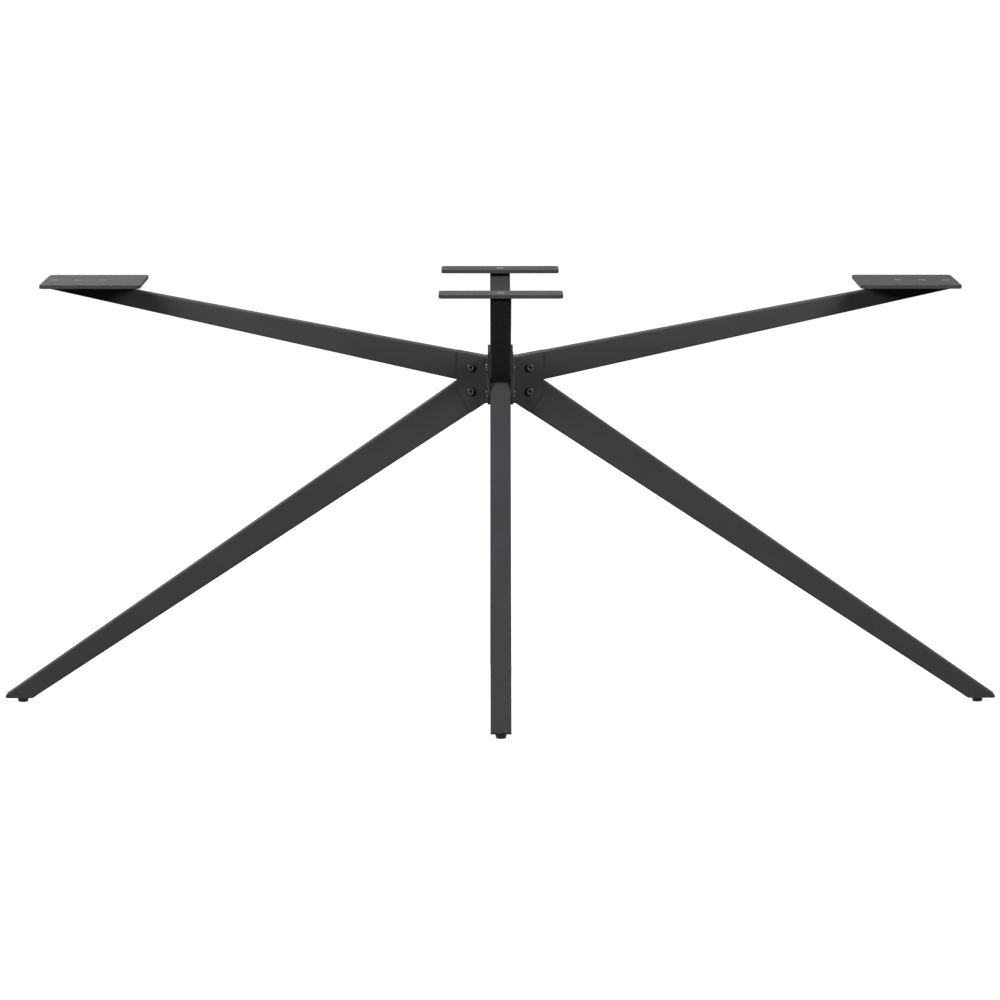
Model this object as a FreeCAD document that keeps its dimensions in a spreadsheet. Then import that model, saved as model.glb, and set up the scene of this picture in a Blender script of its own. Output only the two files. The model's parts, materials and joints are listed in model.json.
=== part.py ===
"""Four star table base: two crossed pairs of tapered steel arm and leg units, bracketed at the hub."""
import FreeCAD, Part
import math
import os
import Sketcher

# Driving sizes, in millimetres
SIZES = [
    ("base_height", 710),
    ("sole_height", 8),
    ("hub_end_clearance", 3),
    ("mitre_drop", 165.2),
    ("tube_width", 34),
    ("tube_wall", 3),
    ("tube_edge_radius", 2.5),
    ("side_arm_hub_rise", 37.7),
    ("side_arm_tip_inset", 3),
    ("side_arm_tip_depth", 5.8),
    ("side_arm_landing", 93.5),
    ("side_vertex_reach", 69),
    ("side_leg_hub_drop", 35.3),
    ("side_leg_outer_reach", 836.7),
    ("side_sole_length", 51.9),
    ("end_arm_hub_rise", 38.2),
    ("end_arm_tip_inset", 16.5),
    ("end_arm_tip_depth", 5.3),
    ("end_arm_landing", 43.8),
    ("end_vertex_reach", 48),
    ("end_leg_hub_drop", 49.8),
    ("end_leg_outer_reach", 351),
    ("end_sole_length", 35),
    ("plate_thickness", 6),
    ("plate_width", 200),
    ("plate_corner_radius", 8),
    ("plate_hole_diameter", 7),
    ("plate_hole_inset", 20),
    ("side_plate_start", 591),
    ("side_plate_length", 166),
    ("end_plate_start", 194.5),
    ("end_plate_length", 80),
    ("side_block_length", 105),
    ("end_block_length", 47),
    ("side_plate_screw_inset", 17),
    ("side_plate_screw_step", 40),
    ("end_plate_screw_inset", 30.5),
    ("end_plate_screw_step", 20),
    ("plate_screw_diameter", 6),
    ("plate_screw_length", 10),
    ("plate_screw_head_diameter", 13),
    ("plate_screw_head_rim", 0.4),
    ("plate_screw_socket_size", 4),
    ("plate_screw_socket_depth", 2.4),
    ("screw_hole_clearance", 0.3),
    ("sole_thickness", 6),
    ("sole_nose_radius", 2.8),
    ("side_glide_inset", 17.2),
    ("end_glide_inset", 18.8),
    ("glide_top_diameter", 19.4),
    ("glide_bottom_diameter", 16.4),
    ("stud_diameter", 8),
    ("stud_length", 12),
    ("thread_clearance", 0.1),
    ("bracket_thickness", 4),
    ("bracket_bend_radius", 4),
    ("side_flange_reach", 71),
    ("side_flange_corner_drop", 17.8),
    ("side_flange_foot_reach", 48),
    ("end_flange_reach", 57),
    ("end_flange_corner_drop", 14.8),
    ("end_flange_foot_reach", 42),
    ("hub_screw_rise", 21.7),
    ("hub_screw_drop", 18.3),
    ("side_hub_screw_reach", 49),
    ("end_hub_screw_reach", 38),
    ("hub_screw_diameter", 8),
    ("hub_screw_length", 16),
    ("hub_screw_head_diameter", 14.5),
    ("hub_screw_head_height", 4.4),
    ("hub_screw_head_bevel", 2.6),
    ("hub_screw_socket_size", 5),
    ("hub_screw_socket_depth", 2.6),
    ("hub_screw_hole_clearance", 0.5),
    ("sleeve_width", 13),
]

# Name of each unit, its kind and how many quarter turns it stands round the upright axis
UNITS = [("right", "side", 0), ("left", "side", 2), ("rear", "end", 1), ("front", "end", 3)]
PLATE_SCREW_COUNTS = {"side": 3, "end": 2}

EDGE_TOLERANCE = 0.01
PLATE_SCREW_HOLE = "Sizes.plate_screw_diameter + 2 * Sizes.screw_hole_clearance"

doc = FreeCAD.newDocument("table_base")
parts = []


def write_sheet(name, rows):
    """Fills a sheet with one alias and one value a row."""
    sheet = doc.addObject("Spreadsheet::Sheet", name)
    for row, (alias, value) in enumerate(rows, start=1):
        sheet.set(f"A{row}", alias.replace("_", " "))
        sheet.set(f"B{row}", str(value))
        sheet.setAlias(f"B{row}", alias)
    doc.recompute()
    return sheet


def worked_rows():
    """Values that follow from the driving sizes: the slopes of each unit's edges and its wall offsets."""
    rows = [
        ("plate_underside", "=Sizes.base_height - Sizes.plate_thickness"),
        ("mitre_height", "=Sizes.base_height - Sizes.mitre_drop"),
        ("sole_top", "=Sizes.sole_height + Sizes.sole_thickness"),
        ("hub_half_gap", "=Sizes.tube_width / 2 + Sizes.hub_end_clearance"),
        ("inner_width", "=Sizes.tube_width - 2 * Sizes.tube_wall"),
        ("face_offset", "=Sizes.tube_width / 2 + Sizes.bracket_thickness"),
        ("bend_end", "=face_offset + Sizes.bracket_bend_radius"),
        ("hub_screw_upper_height", "=mitre_height + Sizes.hub_screw_rise"),
        ("hub_screw_lower_height", "=mitre_height - Sizes.hub_screw_drop"),
        ("hub_screw_hole_diameter", "=Sizes.hub_screw_diameter + 2 * Sizes.hub_screw_hole_clearance"),
    ]
    for kind in ("side", "end"):
        rows += [
            (f"{kind}_plate_end", f"=Sizes.{kind}_plate_start + Sizes.{kind}_plate_length"),
            (f"{kind}_arm_tip_reach", f"={kind}_plate_end - Sizes.{kind}_arm_tip_inset"),
            (f"{kind}_arm_top_reach", f"={kind}_arm_tip_reach - Sizes.{kind}_arm_landing"),
            (f"{kind}_arm_hub_height", f"=mitre_height + Sizes.{kind}_arm_hub_rise"),
            (f"{kind}_leg_hub_height", f"=mitre_height - Sizes.{kind}_leg_hub_drop"),
            (f"{kind}_leg_inner_reach", f"=Sizes.{kind}_leg_outer_reach - Sizes.{kind}_sole_length"),
            (f"{kind}_glide_reach", f"={kind}_leg_inner_reach + Sizes.{kind}_glide_inset"),
            (f"{kind}_block_start", f"={kind}_arm_tip_reach - Sizes.tube_wall - Sizes.{kind}_block_length"),
            (f"{kind}_top_slope", f"=(plate_underside - {kind}_arm_hub_height)"
             f" / ({kind}_arm_top_reach - hub_half_gap)"),
            (f"{kind}_under_slope", f"=(plate_underside - Sizes.{kind}_arm_tip_depth - mitre_height)"
             f" / ({kind}_arm_tip_reach - Sizes.{kind}_vertex_reach)"),
            (f"{kind}_outer_slope", "=(mitre_height - Sizes.sole_height)"
             f" / (Sizes.{kind}_leg_outer_reach - Sizes.{kind}_vertex_reach)"),
            (f"{kind}_inner_slope", f"=({kind}_leg_hub_height - Sizes.sole_height)"
             f" / ({kind}_leg_inner_reach - hub_half_gap)"),
        ]
        rows += [(f"{kind}_{edge}_wall", f"=Sizes.tube_wall * sqrt(1 + {kind}_{edge}_slope ^ 2)")
                 for edge in ("top", "under", "outer", "inner")]
    return rows


def arm_top(kind, reach, depth="0"):
    """Height of the arm's top edge at a reach, lowered by a depth."""
    return (f"Worked.{kind}_arm_hub_height + ({reach} - Worked.hub_half_gap) * Worked.{kind}_top_slope"
            f" - {depth}")


def arm_under(kind, reach, depth="0"):
    """Height of the arm's lower edge at a reach, raised by a depth."""
    return (f"Worked.mitre_height + ({reach} - Sizes.{kind}_vertex_reach) * Worked.{kind}_under_slope"
            f" + {depth}")


def leg_outer_reach(kind, height, depth="0"):
    """Reach of the leg's outer edge at a height, drawn in by a depth measured upright."""
    return (f"Sizes.{kind}_leg_outer_reach"
            f" - ({height} - Sizes.sole_height + {depth}) / Worked.{kind}_outer_slope")


def leg_inner_reach(kind, height, depth="0"):
    """Reach of the leg's inner edge at a height, moved out by a depth measured upright."""
    return (f"Worked.{kind}_leg_inner_reach"
            f" - ({height} - Sizes.sole_height - {depth}) / Worked.{kind}_inner_slope")


def leg_inner_height(kind, reach, depth="0"):
    """Height of the leg's inner edge at a reach, raised by a depth."""
    return (f"Worked.{kind}_leg_hub_height - ({reach} - Worked.hub_half_gap) * Worked.{kind}_inner_slope"
            f" + {depth}")


def new_body(name):
    """An empty body that may hold several features."""
    return doc.addObject("PartDesign::Body", name)


def add_sketch(body, plane, offset=None):
    """A sketch on one of the body's own origin planes, lifted off it by an offset."""
    sketch = body.newObject("Sketcher::SketchObject", f"{body.Name}_sketch")
    origin_plane = next(item for item in body.Origin.OriginFeatures if item.Role == plane)
    sketch.AttachmentSupport = [(origin_plane, "")]
    sketch.MapMode = "FlatFace"
    if offset:
        sketch.setExpression("AttachmentOffset.Base.z", offset)
    return sketch


def hold_point(sketch, geometry, point, place):
    """Ties a point's two distances from the sketch's origin to the sheets."""
    for axis, kind, expression in ((-2, "DistanceX", place[0]), (-1, "DistanceY", place[1])):
        if expression == "0":
            sketch.addConstraint(Sketcher.Constraint("PointOnObject", geometry, point, axis))
        else:
            value = sketch.evalExpression(expression)
            index = sketch.addConstraint(Sketcher.Constraint(kind, -1, 1, geometry, point, value))
            sketch.setExpression(f"Constraints[{index}]", expression)


def draw_outline(sketch, corners):
    """A closed outline of straight edges through corners given as expressions."""
    points = [FreeCAD.Vector(sketch.evalExpression(x), sketch.evalExpression(y), 0) for x, y in corners]
    first = sketch.GeometryCount
    count = len(points)
    for index, start in enumerate(points):
        sketch.addGeometry(Part.LineSegment(start, points[(index + 1) % count]), False)
    for index in range(count):
        following = first + (index + 1) % count
        sketch.addConstraint(Sketcher.Constraint("Coincident", first + index, 2, following, 1))
    for index, corner in enumerate(corners):
        hold_point(sketch, first + index, 1, corner)


def draw_circle(sketch, place, diameter):
    """A circle whose centre and diameter are expressions."""
    centre = FreeCAD.Vector(sketch.evalExpression(place[0]), sketch.evalExpression(place[1]), 0)
    radius = sketch.evalExpression(diameter) / 2
    circle = sketch.addGeometry(Part.Circle(centre, FreeCAD.Vector(0, 0, 1), radius), False)
    hold_point(sketch, circle, 3, place)
    index = sketch.addConstraint(Sketcher.Constraint("Diameter", circle, 2 * radius))
    sketch.setExpression(f"Constraints[{index}]", diameter)


def add_pad(body, sketch, length, symmetric=False, reverse=False):
    """Thickens a sketch into the body."""
    pad = body.newObject("PartDesign::Pad", f"{body.Name}_pad")
    pad.Profile = sketch
    pad.SideType = "Symmetric" if symmetric else "One side"
    pad.Reversed = reverse
    pad.setExpression("Length", length)
    doc.recompute()
    return pad


def add_pocket(body, sketch, length, always=True):
    """Cuts a sketch from the body, equally to both sides of its plane."""
    volume = body.Shape.Volume
    pocket = body.newObject("PartDesign::Pocket", f"{body.Name}_pocket")
    pocket.Profile = sketch
    pocket.SideType = "Symmetric"
    pocket.setExpression("Length", length)
    doc.recompute()
    if always and body.Shape.Volume >= volume:
        raise RuntimeError(f"a pocket cuts nothing from {body.Label}")
    return pocket


def add_revolution(body, sketch):
    """Turns a half outline about the upright axis of its sketch."""
    revolution = body.newObject("PartDesign::Revolution", f"{body.Name}_turning")
    revolution.Profile = sketch
    revolution.ReferenceAxis = (sketch, ["V_Axis"])
    revolution.Angle = 360
    doc.recompute()
    return revolution


def dress_edges(body, kind, size_name, size, chosen):
    """Rounds or bevels the edges of the body's last feature that the test picks."""
    base = body.Tip
    names = [f"Edge{index}" for index, edge in enumerate(base.Shape.Edges, start=1) if chosen(edge)]
    if not names:
        raise RuntimeError(f"no edge to dress on {body.Label}")
    dressing = body.newObject(f"PartDesign::{kind}", f"{body.Name}_{kind.lower()}")
    dressing.Base = (base, names)
    dressing.setExpression(size_name, size)
    doc.recompute()
    return dressing


def measure(expression):
    """The present value of an expression."""
    return float(sizes.evalExpression(expression))


def near(first, second):
    """Whether two lengths are the same."""
    return abs(first - second) < EDGE_TOLERANCE


def ends(edge):
    """The two end points of an edge, or none for a full circle."""
    return [vertex.Point for vertex in edge.Vertexes] if len(edge.Vertexes) == 2 else []


def on_both_faces(edge, half_width):
    """Whether an edge lies in one of the two side faces of a tube."""
    points = ends(edge)
    return bool(points) and all(near(abs(point.y), half_width) for point in points)


def is_long_side_edge(edge):
    """Whether an edge runs along a tube in one of its side faces."""
    return on_both_faces(edge, measure("Sizes.tube_width / 2")) and edge.Length > measure("2 * Sizes.tube_width")


def is_upright(edge):
    """Whether an edge stands upright."""
    points = ends(edge)
    return bool(points) and near(points[0].x, points[1].x) and near(points[0].y, points[1].y)


def is_ring(edge, diameter, height):
    """Whether an edge is a full circle of a diameter at a height."""
    return (isinstance(edge.Curve, Part.Circle) and near(edge.Curve.Radius, diameter / 2)
            and near(edge.Curve.Center.z, height))


def keep(part, label, turn=0):
    """Names a finished sub-part and gives it its quarter turns about the upright axis of the base."""
    part.Label = label
    part.Placement = FreeCAD.Placement(FreeCAD.Vector(), FreeCAD.Rotation(FreeCAD.Vector(0, 0, 1), 90 * turn))
    parts.append(part)
    return part


def tube_holes(kind, heights, body):
    """Clearance holes for the hub screws, through both side walls."""
    sketch = add_sketch(body, "XZ_Plane")
    for height in heights:
        draw_circle(sketch, (f"Sizes.{kind}_hub_screw_reach", height), "Worked.hub_screw_hole_diameter")
    add_pocket(body, sketch, "2 * Sizes.tube_width")


def hollow_profile(body, outline, cavity):
    """A tapered box section: an outline thickened to the tube's width, rounded and hollowed."""
    sketch = add_sketch(body, "XZ_Plane")
    draw_outline(sketch, outline)
    add_pad(body, sketch, "Sizes.tube_width", symmetric=True)
    dress_edges(body, "Fillet", "Radius", "Sizes.tube_edge_radius", is_long_side_edge)
    sketch = add_sketch(body, "XZ_Plane")
    draw_outline(sketch, cavity)
    add_pocket(body, sketch, "Worked.inner_width")


def arm_cavity_end(kind):
    """Corners of an arm's hollow at its tip: the lower one, the upper one and where its roof starts."""
    tip = f"Worked.{kind}_arm_tip_reach - Sizes.tube_wall"
    roof = f"Worked.{kind}_arm_top_reach + Worked.{kind}_top_wall / Worked.{kind}_top_slope"
    return [
        (tip, arm_under(kind, tip, f"Worked.{kind}_under_wall")),
        (tip, "Worked.plate_underside"),
        (roof, "Worked.plate_underside"),
    ]


def make_arm(name, kind, turn):
    """Upper arm, from the hub to the underside of its top plate."""
    body = new_body(f"{name}_arm")
    start = "Worked.hub_half_gap"
    tip = f"Worked.{kind}_arm_tip_reach"
    outline = [
        (start, "Worked.mitre_height"),
        (f"Sizes.{kind}_vertex_reach", "Worked.mitre_height"),
        (tip, arm_under(kind, tip)),
        (tip, "Worked.plate_underside"),
        (f"Worked.{kind}_arm_top_reach", "Worked.plate_underside"),
        (start, f"Worked.{kind}_arm_hub_height"),
    ]
    inner_start = "Worked.hub_half_gap + Sizes.tube_wall"
    mouth = f"Sizes.{kind}_vertex_reach - Worked.{kind}_under_wall / Worked.{kind}_under_slope"
    cavity = [
        (inner_start, "Worked.mitre_height"),
        (mouth, "Worked.mitre_height"),
        *arm_cavity_end(kind),
        (inner_start, arm_top(kind, f"({inner_start})", f"Worked.{kind}_top_wall")),
    ]
    hollow_profile(body, outline, cavity)
    tube_holes(kind, ["Worked.hub_screw_upper_height"], body)
    sketch = add_sketch(body, "XY_Plane", "Worked.plate_underside")
    for reach in plate_screw_places(kind):
        draw_circle(sketch, (reach, "0"), PLATE_SCREW_HOLE)
    add_pocket(body, sketch, "2 * (Sizes.plate_screw_length - Sizes.plate_thickness)", always=False)
    return keep(body, f"{name}_arm", turn)


def make_leg(name, kind, turn):
    """Lower leg, from the hub down to its sole plate."""
    body = new_body(f"{name}_leg")
    start = "Worked.hub_half_gap"
    foot = "Worked.sole_top"
    outline = [
        (start, "Worked.mitre_height"),
        (start, f"Worked.{kind}_leg_hub_height"),
        (leg_inner_reach(kind, foot), foot),
        (leg_outer_reach(kind, foot), foot),
        (f"Sizes.{kind}_vertex_reach", "Worked.mitre_height"),
    ]
    inner_start = "Worked.hub_half_gap + Sizes.tube_wall"
    inner_wall = f"Worked.{kind}_inner_wall"
    outer_wall = f"Worked.{kind}_outer_wall"
    mouth = f"Sizes.{kind}_vertex_reach - {outer_wall} / Worked.{kind}_outer_slope"
    cavity = [
        (inner_start, "Worked.mitre_height"),
        (inner_start, leg_inner_height(kind, f"({inner_start})", inner_wall)),
        (leg_inner_reach(kind, foot, inner_wall), foot),
        (leg_outer_reach(kind, foot, outer_wall), foot),
        (mouth, "Worked.mitre_height"),
    ]
    hollow_profile(body, outline, cavity)
    tube_holes(kind, ["Worked.hub_screw_lower_height"], body)
    return keep(body, f"{name}_leg", turn)


def plate_screw_places(kind):
    """Reach of each screw along the centre line of a top plate."""
    outermost = f"Worked.{kind}_plate_end - Sizes.{kind}_plate_screw_inset"
    return [f"{outermost} - {index} * Sizes.{kind}_plate_screw_step"
            for index in range(PLATE_SCREW_COUNTS[kind])]


def make_top_plate(name, kind, turn):
    """Flat plate that the table top lies on, with corner holes and countersunk holes over the arm."""
    body = new_body(f"{name}_top_plate")
    start = f"Sizes.{kind}_plate_start"
    end = f"Worked.{kind}_plate_end"
    half = "Sizes.plate_width / 2"
    sketch = add_sketch(body, "XY_Plane", "Worked.plate_underside")
    draw_outline(sketch, [(start, f"-{half}"), (end, f"-{half}"), (end, half), (start, half)])
    add_pad(body, sketch, "Sizes.plate_thickness")
    dress_edges(body, "Fillet", "Radius", "Sizes.plate_corner_radius", is_upright)
    top = measure("Sizes.base_height")
    side = f"{half} - Sizes.plate_hole_inset"
    sketch = add_sketch(body, "XY_Plane", "Worked.plate_underside")
    for reach in (f"{start} + Sizes.plate_hole_inset", f"{end} - Sizes.plate_hole_inset"):
        for across in (side, f"-({side})"):
            draw_circle(sketch, (reach, across), "Sizes.plate_hole_diameter")
    add_pocket(body, sketch, "4 * Sizes.plate_thickness")
    sketch = add_sketch(body, "XY_Plane", "Worked.plate_underside")
    for reach in plate_screw_places(kind):
        draw_circle(sketch, (reach, "0"), PLATE_SCREW_HOLE)
    add_pocket(body, sketch, "4 * Sizes.plate_thickness")
    dress_edges(body, "Chamfer", "Size", "(Sizes.plate_screw_head_diameter - Sizes.plate_screw_diameter) / 2",
                lambda edge: is_ring(edge, measure(PLATE_SCREW_HOLE), top))
    return keep(body, f"{name}_top_plate", turn)


def make_arm_block(name, kind, turn):
    """Tapped wedge welded into the open top end of an arm, under the plate."""
    body = new_body(f"{name}_arm_block")
    start = f"Worked.{kind}_block_start"
    corners = [
        (start, arm_top(kind, start, f"Worked.{kind}_top_wall")),
        (start, arm_under(kind, start, f"Worked.{kind}_under_wall")),
        *arm_cavity_end(kind),
    ]
    sketch = add_sketch(body, "XZ_Plane")
    draw_outline(sketch, corners)
    add_pad(body, sketch, "Worked.inner_width", symmetric=True)
    sketch = add_sketch(body, "XY_Plane", "Worked.plate_underside")
    for reach in plate_screw_places(kind):
        draw_circle(sketch, (reach, "0"), "Sizes.plate_screw_diameter + 2 * Sizes.thread_clearance")
    add_pocket(body, sketch, "2 * Sizes.base_height")
    return keep(body, f"{name}_arm_block", turn)


def make_sole_plate(name, kind, turn):
    """Plate that closes the foot of a leg, rounded at its nose and bored for the glide's stud."""
    body = new_body(f"{name}_sole_plate")
    low = "Sizes.sole_height"
    high = "Worked.sole_top"
    sketch = add_sketch(body, "XZ_Plane")
    draw_outline(sketch, [
        (leg_inner_reach(kind, low), low),
        (leg_outer_reach(kind, low), low),
        (leg_outer_reach(kind, high), high),
        (leg_inner_reach(kind, high), high),
    ])
    add_pad(body, sketch, "Sizes.tube_width", symmetric=True)
    nose = measure(leg_outer_reach(kind, low))
    sole = measure(low)
    dress_edges(body, "Fillet", "Radius", "Sizes.sole_nose_radius",
                lambda edge: near(edge.CenterOfMass.x, nose) and near(edge.CenterOfMass.z, sole))
    sketch = add_sketch(body, "XY_Plane", low)
    bore = "Sizes.stud_diameter + 2 * Sizes.thread_clearance"
    draw_circle(sketch, (f"Worked.{kind}_glide_reach", "0"), bore)
    add_pocket(body, sketch, "4 * Sizes.sole_thickness")
    return keep(body, f"{name}_sole_plate", turn)


def make_glide(name, kind, turn):
    """Round glide with its stud, screwed up into the sole plate."""
    body = new_body(f"{name}_glide")
    sketch = add_sketch(body, "XZ_Plane")
    stud_top = "Sizes.sole_height + Sizes.stud_length"
    draw_outline(sketch, [
        ("0", "0"),
        ("Sizes.glide_bottom_diameter / 2", "0"),
        ("Sizes.glide_top_diameter / 2", "Sizes.sole_height"),
        ("Sizes.stud_diameter / 2", "Sizes.sole_height"),
        ("Sizes.stud_diameter / 2", stud_top),
        ("0", stud_top),
    ])
    add_revolution(body, sketch)
    glide = keep(body, f"{name}_glide", turn)
    reach = measure(f"Worked.{kind}_glide_reach")
    glide.Placement.Base = glide.Placement.Rotation.multVec(FreeCAD.Vector(reach, 0, 0))
    return glide


def make_bracket(name, turn):
    """Bent corner bracket: one flange on the side unit's face and one on the face of the end unit."""
    body = new_body(name)
    half = "Sizes.tube_width / 2"
    top = arm_top("side", "Worked.bend_end")
    foot = leg_inner_height("side", "Worked.bend_end")
    sketch = add_sketch(body, "XZ_Plane", f"-({half})")
    draw_outline(sketch, [
        ("Worked.bend_end", foot),
        ("Sizes.side_flange_foot_reach", leg_inner_height("side", "Sizes.side_flange_foot_reach")),
        ("Sizes.side_flange_reach", "Worked.mitre_height - Sizes.side_flange_corner_drop"),
        ("Sizes.side_flange_reach", arm_top("side", "Sizes.side_flange_reach")),
        ("Worked.bend_end", top),
    ])
    add_pad(body, sketch, "Sizes.bracket_thickness", reverse=True)
    sketch = add_sketch(body, "YZ_Plane", half)
    draw_outline(sketch, [
        ("Worked.bend_end", foot),
        ("Sizes.end_flange_foot_reach", foot),
        ("Sizes.end_flange_reach", "Worked.mitre_height - Sizes.end_flange_corner_drop"),
        ("Sizes.end_flange_reach", arm_top("end", "Sizes.end_flange_reach")),
        ("Worked.bend_end", top),
    ])
    add_pad(body, sketch, "Sizes.bracket_thickness")
    sketch = add_sketch(body, "XY_Plane", foot)
    draw_bend(sketch)
    add_pad(body, sketch, f"{top} - ({foot})")
    heights = ("Worked.hub_screw_upper_height", "Worked.hub_screw_lower_height")
    for plane, kind in (("XZ_Plane", "side"), ("YZ_Plane", "end")):
        sketch = add_sketch(body, plane)
        for height in heights:
            draw_circle(sketch, (f"Sizes.{kind}_hub_screw_reach", height), "Worked.hub_screw_hole_diameter")
        add_pocket(body, sketch, "4 * Sizes.tube_width")
    return keep(body, name, turn)


def draw_bend(sketch):
    """Quarter ring that joins the two flanges of a bracket."""
    half = "Sizes.tube_width / 2"
    centre = measure("Worked.bend_end")
    inner = measure("Sizes.bracket_bend_radius")
    outer = measure("Sizes.bracket_bend_radius + Sizes.bracket_thickness")
    middle = FreeCAD.Vector(centre, centre, 0)
    upright = FreeCAD.Vector(0, 0, 1)
    for radius in (inner, outer):
        arc = Part.ArcOfCircle(Part.Circle(middle, upright, radius), math.pi, 1.5 * math.pi)
        sketch.addGeometry(arc, False)
    for start, end in (((centre - inner, centre), (centre - outer, centre)),
                       ((centre, centre - inner), (centre, centre - outer))):
        sketch.addGeometry(Part.LineSegment(FreeCAD.Vector(*start, 0), FreeCAD.Vector(*end, 0)), False)
    for line, point in ((2, 1), (3, 2)):
        sketch.addConstraint(Sketcher.Constraint("Coincident", 0, point, line, 1))
        sketch.addConstraint(Sketcher.Constraint("Coincident", 1, point, line, 2))
    hold_point(sketch, 0, 3, ("Worked.bend_end", "Worked.bend_end"))
    sketch.addConstraint(Sketcher.Constraint("Coincident", 0, 3, 1, 3))
    sketch.addConstraint(Sketcher.Constraint("Vertical", 0, 3, 3, 1))
    sketch.addConstraint(Sketcher.Constraint("Vertical", 0, 3, 3, 2))
    hold_point(sketch, 2, 1, ("Worked.face_offset", "Worked.bend_end"))
    hold_point(sketch, 2, 2, (half, "Worked.bend_end"))


def make_mirrored_bracket(name, source):
    """The handed twin of a bracket, across the plane through the side arms."""
    twin = doc.addObject("Part::Mirroring", name)
    twin.Source = source
    twin.Normal = FreeCAD.Vector(0, 1, 0)
    doc.recompute()
    twin.Label = name
    parts.append(twin)
    return twin


def cut_socket(body, size, depth, top):
    """Cuts a hexagon socket down into the head of a screw."""
    prism = doc.addObject("Part::Prism", f"{body.Name}_hexagon")
    prism.Polygon = 6
    prism.setExpression("Circumradius", f"{size} / sqrt(3)")
    prism.setExpression("Height", f"2 * {depth}")
    prism.setExpression("Placement.Base.z", f"{top} - {depth}")
    screw = doc.addObject("Part::Cut", f"{body.Name}_with_socket")
    screw.Base = body
    screw.Tool = prism
    doc.recompute()
    return screw


def make_hub_screw():
    """Button head screw, its head's seat at the origin and its shank below."""
    body = new_body("hub_screw")
    shank = "Sizes.hub_screw_diameter / 2"
    head = "Sizes.hub_screw_head_diameter / 2"
    sketch = add_sketch(body, "XZ_Plane")
    draw_outline(sketch, [
        ("0", "-Sizes.hub_screw_length"),
        (shank, "-Sizes.hub_screw_length"),
        (shank, "0"),
        (head, "0"),
        (head, "Sizes.hub_screw_head_height - Sizes.hub_screw_head_bevel"),
        (f"{head} - Sizes.hub_screw_head_bevel", "Sizes.hub_screw_head_height"),
        ("0", "Sizes.hub_screw_head_height"),
    ])
    add_revolution(body, sketch)
    return cut_socket(body, "Sizes.hub_screw_socket_size", "Sizes.hub_screw_socket_depth",
                      "Sizes.hub_screw_head_height")


def make_plate_screw():
    """Countersunk screw, the flat of its head at the origin and its shank below."""
    body = new_body("plate_screw")
    shank = "Sizes.plate_screw_diameter / 2"
    head = "Sizes.plate_screw_head_diameter / 2 - Sizes.screw_hole_clearance"
    rim = "Sizes.plate_screw_head_rim"
    sketch = add_sketch(body, "XZ_Plane")
    draw_outline(sketch, [
        ("0", "-Sizes.plate_screw_length"),
        (shank, "-Sizes.plate_screw_length"),
        (shank, f"-({head}) + {shank} - {rim}"),
        (head, f"-{rim}"),
        (head, "0"),
        ("0", "0"),
    ])
    add_revolution(body, sketch)
    return cut_socket(body, "Sizes.plate_screw_socket_size", "Sizes.plate_screw_socket_depth", "0")


def make_sleeve():
    """Tapped hexagon sleeve that spans the inside of a tube between its side walls."""
    outside = doc.addObject("Part::Prism", "sleeve_outside")
    outside.Polygon = 6
    outside.setExpression("Circumradius", "Sizes.sleeve_width / sqrt(3)")
    outside.setExpression("Height", "Worked.inner_width")
    bore = doc.addObject("Part::Cylinder", "sleeve_bore")
    bore.setExpression("Radius", "Sizes.hub_screw_diameter / 2 + Sizes.thread_clearance")
    bore.setExpression("Height", "Worked.inner_width")
    sleeve = doc.addObject("Part::Cut", "sleeve")
    sleeve.Base = outside
    sleeve.Tool = bore
    doc.recompute()
    return sleeve


def make_group(label, source, places, turn):
    """Copies of one fastener as a group of separate solids; a place is a tilt and three expressions."""
    copies = []
    for tilt, *place in places:
        copy = doc.addObject("App::Link", f"{label}_copy")
        copy.LinkedObject = source
        copy.Placement = FreeCAD.Placement(FreeCAD.Vector(), FreeCAD.Rotation(FreeCAD.Vector(1, 0, 0), tilt))
        for axis, expression in zip("xyz", place):
            copy.setExpression(f"Placement.Base.{axis}", expression)
        copies.append(copy)
    group = doc.addObject("Part::Compound", label)
    group.Links = copies
    doc.recompute()
    return keep(group, label, turn)


def hub_places(kind, both_sides, offset):
    """Places of the hub's fasteners on one unit: at two heights, on one or both of its faces."""
    reach = f"Sizes.{kind}_hub_screw_reach"
    heights = ("Worked.hub_screw_upper_height", "Worked.hub_screw_lower_height")
    faces = ((-90, offset), (90, f"-({offset})")) if both_sides else ((90, offset),)
    return [(tilt, reach, across, height) for tilt, across in faces for height in heights]


def make_unit(name, kind, turn, fasteners):
    """All the pieces of one unit of the star."""
    make_arm(name, kind, turn)
    make_leg(name, kind, turn)
    make_top_plate(name, kind, turn)
    make_arm_block(name, kind, turn)
    make_sole_plate(name, kind, turn)
    make_glide(name, kind, turn)
    plate_places = [(0, reach, "0", "Sizes.base_height") for reach in plate_screw_places(kind)]
    make_group(f"{name}_plate_screws", fasteners["plate_screw"], plate_places, turn)
    screw_places = hub_places(kind, True, "Worked.face_offset")
    make_group(f"{name}_hub_screws", fasteners["hub_screw"], screw_places, turn)
    sleeve_places = hub_places(kind, False, "Worked.inner_width / 2")
    make_group(f"{name}_hub_sleeves", fasteners["sleeve"], sleeve_places, turn)


def check_document():
    """Stops the build if any object failed, or if a sub-part has no valid solid."""
    for item in doc.Objects:
        if "Invalid" in item.State or "Error" in item.State:
            raise RuntimeError(f"{item.Label} failed")
    for part in parts:
        if part.Shape.isNull() or not part.Shape.isValid() or not part.Shape.Solids:
            raise RuntimeError(f"{part.Label} has no valid solid")


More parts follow.
